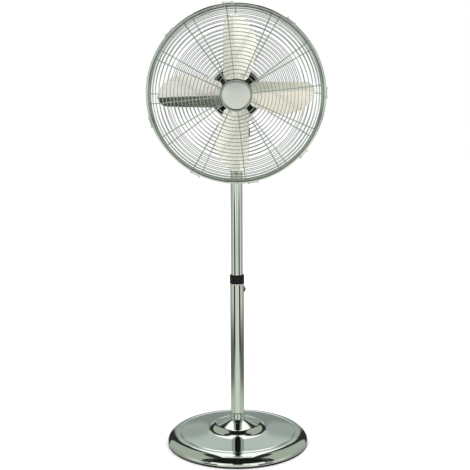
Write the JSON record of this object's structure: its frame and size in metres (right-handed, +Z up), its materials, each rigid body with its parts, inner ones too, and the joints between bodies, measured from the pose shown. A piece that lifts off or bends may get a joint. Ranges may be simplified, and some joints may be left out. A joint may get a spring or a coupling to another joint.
{
  "type": "pedestal fan",
  "caption": "Chrome pedestal fan with satin metal blades in a round wire guard, on a telescopic pole and a domed round base.",
  "frame": {"origin": "on the floor, at the axis of the pole", "axes": "+Z up along the pole, -Y the way the fan blows, +X to the right seen from the front"},
  "size_m": [0.4547, 0.38, 1.1779],
  "materials": {
    "chrome": "mirror-bright chrome plating",
    "blade_metal": "satin, lengthwise brushed",
    "badge_metal": "satin, turned",
    "steel": "zinc plated",
    "dark_paint": "satin",
    "black_plastic": "moulded, fine texture",
    "white_plastic": "moulded",
    "bearing_bronze": "sintered",
    "winding_copper": "enamelled wire",
    "cast_alloy": "die cast",
    "rubber": "matt",
    "weight_iron": "rough"
  },
  "bodies": {
    "stand": {"base_shell": "chrome", "base_weight": "weight_iron", "base_plate": "steel", "base_edge_ring": "rubber", "base_bolt": "steel", "stand_socket": "steel", "foot_ferrule": "chrome", "lower_tube": "chrome", "collar": "black_plastic", "collar_sleeve": "white_plastic", "lock_nut": "steel"},
    "height_lock": {"height_lock_screw": "steel", "height_lock_knob": "black_plastic"},
    "mast": {"upper_tube": "chrome", "mast_bush": "white_plastic", "neck_yoke": "dark_paint", "tilt_bolt": "steel"},
    "tilt_lock": {"tilt_knob": "black_plastic"},
    "neck": {"tilt_block": "dark_paint", "swivel_pin": "steel", "swivel_washer": "bearing_bronze"},
    "link": {"link_rod": "steel"},
    "head": {"gear_case": "cast_alloy", "motor_front_cover": "dark_paint", "motor_rear_cover": "dark_paint", "cover_screws": "steel", "stator_core": "steel", "stator_windings": "winding_copper", "front_bearing": "bearing_bronze", "rear_bearing": "bearing_bronze", "capacitor": "white_plastic", "speed_switch": "white_plastic", "cable_gland": "rubber", "guard_plate": "dark_paint", "rear_guard": "chrome", "guard_nut": "black_plastic", "rim_band": "chrome", "front_guard": "chrome", "front_badge": "badge_metal", "badge_rim": "chrome", "clip_brackets": "chrome"},
    "speed_selector": {"speed_knob": "black_plastic"},
    "oscillation_selector": {"oscillation_knob": "black_plastic"},
    "rotor": {"rotor_core": "cast_alloy", "motor_shaft": "steel", "drive_worm": "steel", "blade_hub": "steel", "fan_blades": "blade_metal", "blade_rivets": "steel", "blade_nut": "steel"},
    "worm_spindle": {"worm_gear": "white_plastic"},
    "crank": {"output_gear": "white_plastic"},
    "clip_1": {"clip_lever_1": "chrome"},
    "clip_2": {"clip_lever_2": "chrome"},
    "clip_3": {"clip_lever_3": "chrome"},
    "clip_4": {"clip_lever_4": "chrome"},
    "clip_5": {"clip_lever_5": "chrome"},
    "clip_6": {"clip_lever_6": "chrome"},
    "clip_7": {"clip_lever_7": "chrome"},
    "clip_8": {"clip_lever_8": "chrome"}
  },
  "joints": [
    {"name": "height_lock_turn", "type": "hinge", "parent": "stand", "child": "height_lock", "pos_m": [0.01315, 0.02472, 0.42], "axis": [0.4695, 0.8829, 0], "range_deg": [0, 360]},
    {"name": "height_slide", "type": "slide", "parent": "stand", "child": "mast", "axis": [0, 0, 1], "range_m": [-0.11, 0.11]},
    {"name": "tilt_lock_turn", "type": "hinge", "parent": "mast", "child": "tilt_lock", "pos_m": [0.028, 0, 0.846], "axis": [1, 0, 0], "range_deg": [0, 360]},
    {"name": "head_tilt", "type": "hinge", "parent": "mast", "child": "neck", "pos_m": [0, 0, 0.846], "axis": [-1, 0, 0], "range_deg": [-12, 30]},
    {"name": "oscillation", "type": "hinge", "parent": "neck", "child": "head", "pos_m": [0, 0, 0.87], "axis": [0, 0, 1], "range_deg": [-40, 40]},
    {"name": "link_swing", "type": "hinge", "parent": "neck", "child": "link", "pos_m": [-0.016, 0, 0.8705], "axis": [0, 0, 1], "range_deg": [-40, 40]},
    {"name": "blade_spin", "type": "hinge", "parent": "head", "child": "rotor", "pos_m": [0, -0.1, 0.95], "axis": [0, 1, 0], "continuous": true},
    {"name": "worm_gear_turn", "type": "hinge", "parent": "head", "child": "worm_spindle", "pos_m": [0.0165, 0.0421, 0.95], "axis": [0, 0, 1], "continuous": true},
    {"name": "crank_turn", "type": "hinge", "parent": "head", "child": "crank", "pos_m": [-0.006, 0.048, 0.9], "axis": [0, 0, 1], "continuous": true},
    {"name": "speed_turn", "type": "hinge", "parent": "head", "child": "speed_selector", "pos_m": [0, 0.1, 0.926], "axis": [0, 1, 0], "range_deg": [0, 120]},
    {"name": "oscillation_push", "type": "slide", "parent": "head", "child": "oscillation_selector", "axis": [0, 0, 1], "range_m": [-0.004, 0.004]},
    {"name": "clip_1_swing", "type": "hinge", "parent": "head", "child": "clip_1", "pos_m": [0.22797, -0.101, 0.96394], "axis": [0, -1, 0], "range_deg": [0, 95]},
    {"name": "clip_2_swing", "type": "hinge", "parent": "head", "child": "clip_2", "pos_m": [0.12937, -0.101, 1.13823], "axis": [0, -1, 0], "range_deg": [0, 95]},
    {"name": "clip_3_swing", "type": "hinge", "parent": "head", "child": "clip_3", "pos_m": [-0.03179, -0.101, 1.17618], "axis": [0, -1, 0], "range_deg": [0, 95]},
    {"name": "clip_4_swing", "type": "hinge", "parent": "head", "child": "clip_4", "pos_m": [-0.17497, -0.101, 1.09681], "axis": [0, -1, 0], "range_deg": [0, 95]},
    {"name": "clip_5_swing", "type": "hinge", "parent": "head", "child": "clip_5", "pos_m": [-0.21366, -0.101, 0.86927], "axis": [0, -1, 0], "range_deg": [0, 95]},
    {"name": "clip_6_swing", "type": "hinge", "parent": "head", "child": "clip_6", "pos_m": [-0.09508, -0.101, 0.74233], "axis": [0, -1, 0], "range_deg": [0, 95]},
    {"name": "clip_7_swing", "type": "hinge", "parent": "head", "child": "clip_7", "pos_m": [0.05371, -0.101, 0.728], "axis": [0, -1, 0], "range_deg": [0, 95]},
    {"name": "clip_8_swing", "type": "hinge", "parent": "head", "child": "clip_8", "pos_m": [0.17825, -0.101, 0.80719], "axis": [0, -1, 0], "range_deg": [0, 95]}
  ],
  "couplings": [
    {"joint": "worm_gear_turn", "follows": "blade_spin", "ratio": 0.05},
    {"joint": "crank_turn", "follows": "blade_spin", "ratio": -0.0125},
    {"joint": "link_swing", "follows": "oscillation", "ratio": 1}
  ]
}
